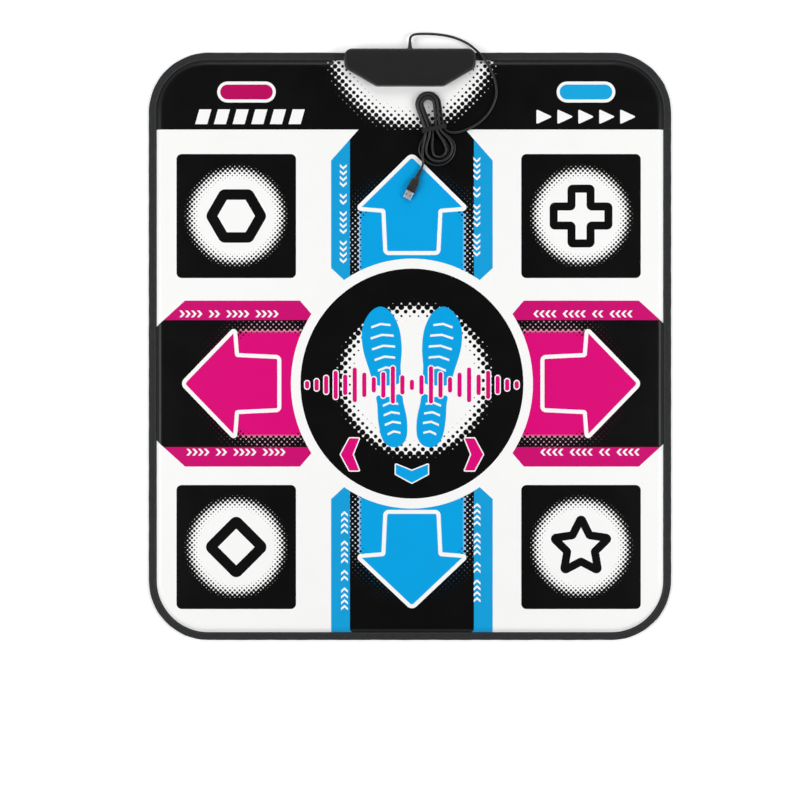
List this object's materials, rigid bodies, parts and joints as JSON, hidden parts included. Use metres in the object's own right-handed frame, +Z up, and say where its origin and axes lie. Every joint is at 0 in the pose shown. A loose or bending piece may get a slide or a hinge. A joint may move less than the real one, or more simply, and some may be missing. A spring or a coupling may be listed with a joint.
{
  "type": "dance mat controller",
  "caption": "Padded floor mat with printed pressure zones that sink underfoot, a bound edge, a flat controller box on the rear edge and a hanked lead with a plug.",
  "frame": {"origin": "middle of the mat's outline, on the floor that the mat lies on", "axes": "+X to the right of a player who faces the controller box, +Y to the rear edge with the box, +Z up"},
  "size_m": [0.813, 0.9448, 0.022],
  "materials": {
    "printed_vinyl_black": "satin printed vinyl sheet",
    "printed_vinyl_cyan": "satin printed vinyl sheet",
    "printed_vinyl_magenta": "satin printed vinyl sheet",
    "contact_film": "thin polyester film with printed conductors",
    "foam": "closed-cell white foam",
    "non_slip_backing": "woven backing with raised rubber dots",
    "binding_tape": "woven tape with two rows of stitches",
    "box_plastic": "fine spark-textured moulded plastic",
    "circuit_board": "solder mask on glass laminate",
    "component_black": "moulded epoxy",
    "plated_steel": "nickel plated, bright",
    "white_plastic": "moulded, matt",
    "cord_sheath": "soft black vinyl sheath, satin"
  },
  "bodies": {
    "root": {"base_foam": "foam", "capacitor": "component_black", "circuit_board": "circuit_board", "clamp_screw_1": "plated_steel", "clamp_screw_2": "plated_steel", "controller_bottom_shell": "box_plastic", "controller_chip": "component_black", "controller_screw_1": "plated_steel", "controller_screw_2": "plated_steel", "controller_screw_3": "plated_steel", "controller_screw_4": "plated_steel", "controller_top_shell": "box_plastic", "cord_grommet": "cord_sheath", "cord_hank": "cord_sheath", "cord_lead": "cord_sheath", "cord_tail": "cord_sheath", "cord_tie": "cord_sheath", "crystal": "plated_steel", "edge_binding": "binding_tape", "inner_lead": "cord_sheath", "lead_socket": "white_plastic", "lower_membrane": "contact_film", "membrane_clamp": "white_plastic", "non_slip_base": "non_slip_backing", "plug_body": "cord_sheath", "plug_shell": "plated_steel", "plug_tongue": "white_plastic", "spacer_foam": "foam", "top_cover": "printed_vinyl_black", "upper_membrane": "contact_film"},
    "up_zone": {"up_step_panel": "printed_vinyl_cyan", "up_contact_film": "contact_film"},
    "left_zone": {"left_step_panel": "printed_vinyl_magenta", "left_contact_film": "contact_film"},
    "down_zone": {"down_step_panel": "printed_vinyl_cyan", "down_contact_film": "contact_film"},
    "right_zone": {"right_step_panel": "printed_vinyl_magenta", "right_contact_film": "contact_film"},
    "rear_left_zone": {"rear_left_step_panel": "printed_vinyl_black", "rear_left_contact_film": "contact_film"},
    "rear_right_zone": {"rear_right_step_panel": "printed_vinyl_black", "rear_right_contact_film": "contact_film"},
    "front_left_zone": {"front_left_step_panel": "printed_vinyl_black", "front_left_contact_film": "contact_film"},
    "front_right_zone": {"front_right_step_panel": "printed_vinyl_black", "front_right_contact_film": "contact_film"},
    "select_zone": {"select_step_panel": "printed_vinyl_magenta", "select_contact_film": "contact_film"},
    "start_zone": {"start_step_panel": "printed_vinyl_cyan", "start_contact_film": "contact_film"}
  },
  "joints": [
    {"name": "up_press", "type": "slide", "parent": "root", "child": "up_zone", "axis": [0, 0, 1], "range_m": [-0.002, 0], "stiffness_N_per_m": 4000, "springref_m": 0.0005, "deforming": ["spacer_foam"]},
    {"name": "left_press", "type": "slide", "parent": "root", "child": "left_zone", "axis": [0, 0, 1], "range_m": [-0.002, 0], "stiffness_N_per_m": 4000, "springref_m": 0.0005, "deforming": ["spacer_foam"]},
    {"name": "down_press", "type": "slide", "parent": "root", "child": "down_zone", "axis": [0, 0, 1], "range_m": [-0.002, 0], "stiffness_N_per_m": 4000, "springref_m": 0.0005, "deforming": ["spacer_foam"]},
    {"name": "right_press", "type": "slide", "parent": "root", "child": "right_zone", "axis": [0, 0, 1], "range_m": [-0.002, 0], "stiffness_N_per_m": 4000, "springref_m": 0.0005, "deforming": ["spacer_foam"]},
    {"name": "rear_left_press", "type": "slide", "parent": "root", "child": "rear_left_zone", "axis": [0, 0, 1], "range_m": [-0.002, 0], "stiffness_N_per_m": 4000, "springref_m": 0.0005, "deforming": ["spacer_foam"]},
    {"name": "rear_right_press", "type": "slide", "parent": "root", "child": "rear_right_zone", "axis": [0, 0, 1], "range_m": [-0.002, 0], "stiffness_N_per_m": 4000, "springref_m": 0.0005, "deforming": ["spacer_foam"]},
    {"name": "front_left_press", "type": "slide", "parent": "root", "child": "front_left_zone", "axis": [0, 0, 1], "range_m": [-0.002, 0], "stiffness_N_per_m": 4000, "springref_m": 0.0005, "deforming": ["spacer_foam"]},
    {"name": "front_right_press", "type": "slide", "parent": "root", "child": "front_right_zone", "axis": [0, 0, 1], "range_m": [-0.002, 0], "stiffness_N_per_m": 4000, "springref_m": 0.0005, "deforming": ["spacer_foam"]},
    {"name": "select_press", "type": "slide", "parent": "root", "child": "select_zone", "axis": [0, 0, 1], "range_m": [-0.002, 0], "stiffness_N_per_m": 2000, "springref_m": 0.0005, "deforming": ["spacer_foam"]},
    {"name": "start_press", "type": "slide", "parent": "root", "child": "start_zone", "axis": [0, 0, 1], "range_m": [-0.002, 0], "stiffness_N_per_m": 2000, "springref_m": 0.0005, "deforming": ["spacer_foam"]}
  ]
}
